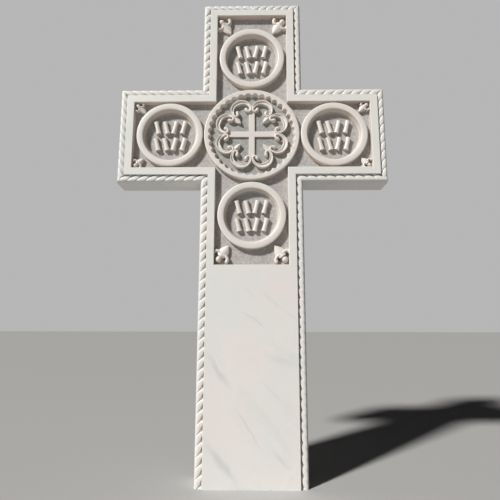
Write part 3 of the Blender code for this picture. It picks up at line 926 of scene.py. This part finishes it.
def veined_white(nodes, place):
    """The stone's own colour: white clouds, pink patches and grey veins."""
    clouds = nodes.remap(nodes.noise(place, CLOUD_SCALE, 4.0, 0.6), 0.40, 0.66)
    blush_place = nodes.add("ShaderNodeMapping", {"Vector": place, "Location": (3.0, 1.0, 7.0)})
    blush = nodes.remap(nodes.noise(blush_place.outputs["Vector"], BLUSH_SCALE, 3.0, 0.4), 0.50, 0.68)
    colour = nodes.mix(clouds, WARM_WHITE, COOL_WHITE)
    wander = nodes.add("ShaderNodeTexNoise", {"Vector": place, "Scale": WANDER_SCALE, "Detail": 4.0})
    drift = nodes.add("ShaderNodeVectorMath", {
        0: wander.outputs["Color"], 1: (0.5, 0.5, 0.5),
    }, operation="SUBTRACT")
    bent = nodes.add("ShaderNodeVectorMath", {
        0: drift.outputs["Vector"], 1: (VEIN_WANDER, VEIN_WANDER, VEIN_WANDER), 2: place,
    }, operation="MULTIPLY_ADD").outputs["Vector"]
    random_blush = nodes.maths("MULTIPLY", blush, BLUSH_SHARE)
    blush = nodes.maths("MAXIMUM", random_blush, marks(nodes, bent, BLUSHES))
    colour = nodes.mix(blush, colour, PINK_WHITE)

    slanted = nodes.add("ShaderNodeMapping", {
        "Vector": place, "Rotation": (0.0, VEIN_SLANT, 0.0), "Scale": (1.0, 1.0, 3.5),
    }, vector_type="TEXTURE")
    smudge = nodes.remap(nodes.noise(slanted.outputs["Vector"], SMUDGE_SCALE, 5.0, 0.8), 0.58, 0.80)
    wave = nodes.add("ShaderNodeTexNoise", {
        "Vector": slanted.outputs["Vector"], "Scale": VEIN_SCALE, "Detail": 6.0, "Distortion": 1.4,
    })
    ridge_line = nodes.maths("ABSOLUTE", nodes.maths("SUBTRACT", wave.outputs["Fac"], 0.5))
    vein = nodes.remap(ridge_line, 0.0, 0.012, 1.0, 0.0)
    patches = nodes.remap(nodes.noise(place, PATCH_SCALE, 2.0), 0.48, 0.62)
    vein = nodes.maths("MULTIPLY", vein, nodes.maths("MULTIPLY", patches, VEIN_SHARE))
    veins = nodes.maths("MAXIMUM", vein, nodes.maths("MULTIPLY", smudge, SMUDGE_SHARE))
    veins = nodes.maths("MAXIMUM", veins, marks(nodes, bent, VEINS))
    return nodes.mix(veins, colour, VEIN_GREY)


def carved_tones_and_painted_shade(nodes, colour, place, normal, sunken, depth):
    """Tan painted as warm bounce shade on the carving's walls, most where they look down, a light tan
    tint on the carved forms, and grey on the sunken floors.
    """
    # Painted shade: walls and flanks in the relief turn tan, more where they look down, standing in for
    # warm bounce light in their shade
    upright = nodes.add("ShaderNodeSeparateXYZ", {"Vector": normal})
    flank = nodes.remap(nodes.maths("ABSOLUTE", upright.outputs["Y"]), 0.9, 0.2)
    painted_shade_looking_down = nodes.remap(upright.outputs["Z"], 0.5, -0.5, 0.35, 1.0)
    tone = nodes.remap(sunken, 0.05, 0.30)
    painted_bounce_tan = nodes.maths("MULTIPLY", nodes.maths("MULTIPLY", flank, painted_shade_looking_down), tone)
    toned = nodes.maths("MULTIPLY", nodes.remap(sunken, 0.0, FORM_TONE), FORM_SHARE)
    colour = nodes.mix(nodes.maths("MAXIMUM", painted_bounce_tan, toned), colour, WARM_TINT_AND_PAINTED_BOUNCE_TAN)
    colour = nodes.mix(nodes.maths("MULTIPLY", depth, FLOOR_SHARE), colour, FLOOR_GREY)
    flat = nodes.add("ShaderNodeVectorMath", {0: place, 1: (1.0, 0.0, 1.0)}, operation="MULTIPLY")
    from_crossing = nodes.add("ShaderNodeVectorMath", {
        0: flat.outputs["Vector"], 1: (0.0, 0.0, CROSSING_HEIGHT),
    }, operation="DISTANCE")
    medallion = nodes.remap(from_crossing.outputs["Value"], MEDALLION_FLOOR_RADIUS + 0.008,
                            MEDALLION_FLOOR_RADIUS - 0.002)
    share = nodes.maths("MULTIPLY", nodes.maths("MULTIPLY", medallion, depth), FLOOR_SHARE)
    return nodes.mix(share, colour, MEDALLION_GREY)


def carved_marble():
    """White marble, coloured by place, by height in the relief, and with painted warm shade by which way
    a face looks.
    """
    material = bpy.data.materials.new("carved_white_marble")
    material.use_nodes = True
    nodes = Nodes(material.node_tree)
    shader = material.node_tree.nodes["Principled BSDF"]
    texture_place = nodes.add("ShaderNodeTexCoord")
    place = texture_place.outputs["Object"]
    sunken = nodes.add("ShaderNodeAttribute", attribute_name="sunken").outputs["Fac"]
    depth = nodes.remap(sunken, 0.78, 0.98)

    colour = veined_white(nodes, place)
    colour = carved_tones_and_painted_shade(nodes, colour, place, texture_place.outputs["Normal"], sunken, depth)
    grain = nodes.noise(place, GRAIN_SCALE, 2.0)
    speckle = nodes.remap(grain, 0.3, 0.7, 0.94, 1.04)
    grit = nodes.remap(nodes.noise(place, GRIT_SCALE, 3.0), 0.35, 0.65, -0.17, 0.13)
    speckle = nodes.maths("ADD", speckle, nodes.maths("MULTIPLY", depth, grit))
    shaded = nodes.add("ShaderNodeMix", data_type="RGBA", blend_type="MULTIPLY")
    nodes.feed(shaded.inputs["Factor"], 1.0)
    nodes.feed(shaded.inputs["A"], colour)
    nodes.feed(shaded.inputs["B"], speckle)
    nodes.feed(shader.inputs["Base Color"], shaded.outputs["Result"])

    worn = nodes.remap(nodes.noise(place, WORN_SCALE, 4.0), 0.3, 0.7, 0.38, 0.52)
    rough = nodes.maths("ADD", worn, nodes.maths("MULTIPLY", depth, FLOOR_ROUGHNESS))
    nodes.feed(shader.inputs["Roughness"], rough)

    tooling = nodes.noise(place, TOOLING_SCALE, 4.0)
    how_tooled = nodes.maths("ADD", nodes.maths("MULTIPLY", depth, 0.9), 0.08)
    tooled = nodes.maths("MULTIPLY", tooling, how_tooled)
    surface = nodes.maths("ADD", tooled, nodes.maths("MULTIPLY", grain, 0.10))
    bump = nodes.add("ShaderNodeBump", {
        "Height": surface, "Strength": BUMP_STRENGTH, "Distance": BUMP_DISTANCE,
    })
    nodes.feed(shader.inputs["Normal"], bump.outputs["Normal"])
    return material


# Floor, light and camera

FLOOR_COLOUR = 0.52, 0.515, 0.505, 1.0
FLOOR_SIZE = 40.0
BACKDROP_COLOUR = 0.47, 0.47, 0.47, 1.0
FILL_COLOUR = 0.94, 0.95, 1.0, 1.0
FILL_STRENGTH = 0.025
KEY_STRENGTH = 3.98
KEY_ANGLE = radians(6.0)
KEY_TRAVEL = 1.0, 1.0, -1.06
CAMERA_PLACE = 0.0119, -1.0353, 0.3561
CAMERA_RISE = radians(9.97)
CAMERA_TURN = radians(0.90)
CAMERA_ROLL = radians(-0.11)
CAMERA_LENS = 30.456
SENSOR_WIDTH = 36.0


def pale_floor():
    mesh = bpy.data.meshes.new("floor")
    half = FLOOR_SIZE / 2
    corners = [(-half, -half, FOOT), (half, -half, FOOT), (half, half, FOOT), (-half, half, FOOT)]
    mesh.from_pydata(corners, [], [(0, 1, 2, 3)])
    material = bpy.data.materials.new("floor")
    material.use_nodes = True
    shader = material.node_tree.nodes["Principled BSDF"]
    shader.inputs["Base Color"].default_value = FLOOR_COLOUR
    shader.inputs["Roughness"].default_value = 0.8
    mesh.materials.append(material)
    item = bpy.data.objects.new("floor", mesh)
    bpy.context.scene.collection.objects.link(item)


def soft_world():
    """A dim even fill light, with a pale backdrop where the camera sees past the cross."""
    world = bpy.data.worlds.new("studio")
    world.use_nodes = True
    tree = world.node_tree
    fill = tree.nodes["Background"]
    fill.inputs["Color"].default_value = FILL_COLOUR
    fill.inputs["Strength"].default_value = FILL_STRENGTH
    backdrop = tree.nodes.new("ShaderNodeBackground")
    backdrop.inputs["Color"].default_value = BACKDROP_COLOUR
    path = tree.nodes.new("ShaderNodeLightPath")
    choose = tree.nodes.new("ShaderNodeMixShader")
    tree.links.new(path.outputs["Is Camera Ray"], choose.inputs["Fac"])
    tree.links.new(fill.outputs["Background"], choose.inputs[1])
    tree.links.new(backdrop.outputs["Background"], choose.inputs[2])
    tree.links.new(choose.outputs["Shader"], tree.nodes["World Output"].inputs["Surface"])
    bpy.context.scene.world = world


def key_light():
    """A soft light from the upper left in front of the cross."""
    light = bpy.data.lights.new("key", "SUN")
    light.energy = KEY_STRENGTH
    light.angle = KEY_ANGLE
    light.color = 1.0, 0.985, 0.96
    item = bpy.data.objects.new("key", light)
    item.rotation_euler = Vector(KEY_TRAVEL).to_track_quat("-Z", "Y").to_euler()
    bpy.context.scene.collection.objects.link(item)


def photo_camera():
    data = bpy.data.cameras.new("photo_view")
    data.lens = CAMERA_LENS
    data.sensor_width = SENSOR_WIDTH
    item = bpy.data.objects.new("photo_view", data)
    bpy.context.scene.collection.objects.link(item)
    turn = Matrix.Rotation(CAMERA_TURN, 4, "Z")
    rise = Matrix.Rotation(CAMERA_RISE, 4, "X")
    roll = Matrix.Rotation(CAMERA_ROLL, 4, "Y")
    level = Matrix.Rotation(radians(90), 4, "X")
    item.matrix_world = Matrix.Translation(CAMERA_PLACE) @ turn @ rise @ roll @ level
    bpy.context.scene.camera = item


cross = carved_cross()
cross.data.materials.clear()
cross.data.materials.append(carved_marble())
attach(cross, "root")
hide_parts(NODE)
pale_floor()
soft_world()
key_light()
photo_camera()
bpy.context.scene.view_settings.view_transform = "Standard"
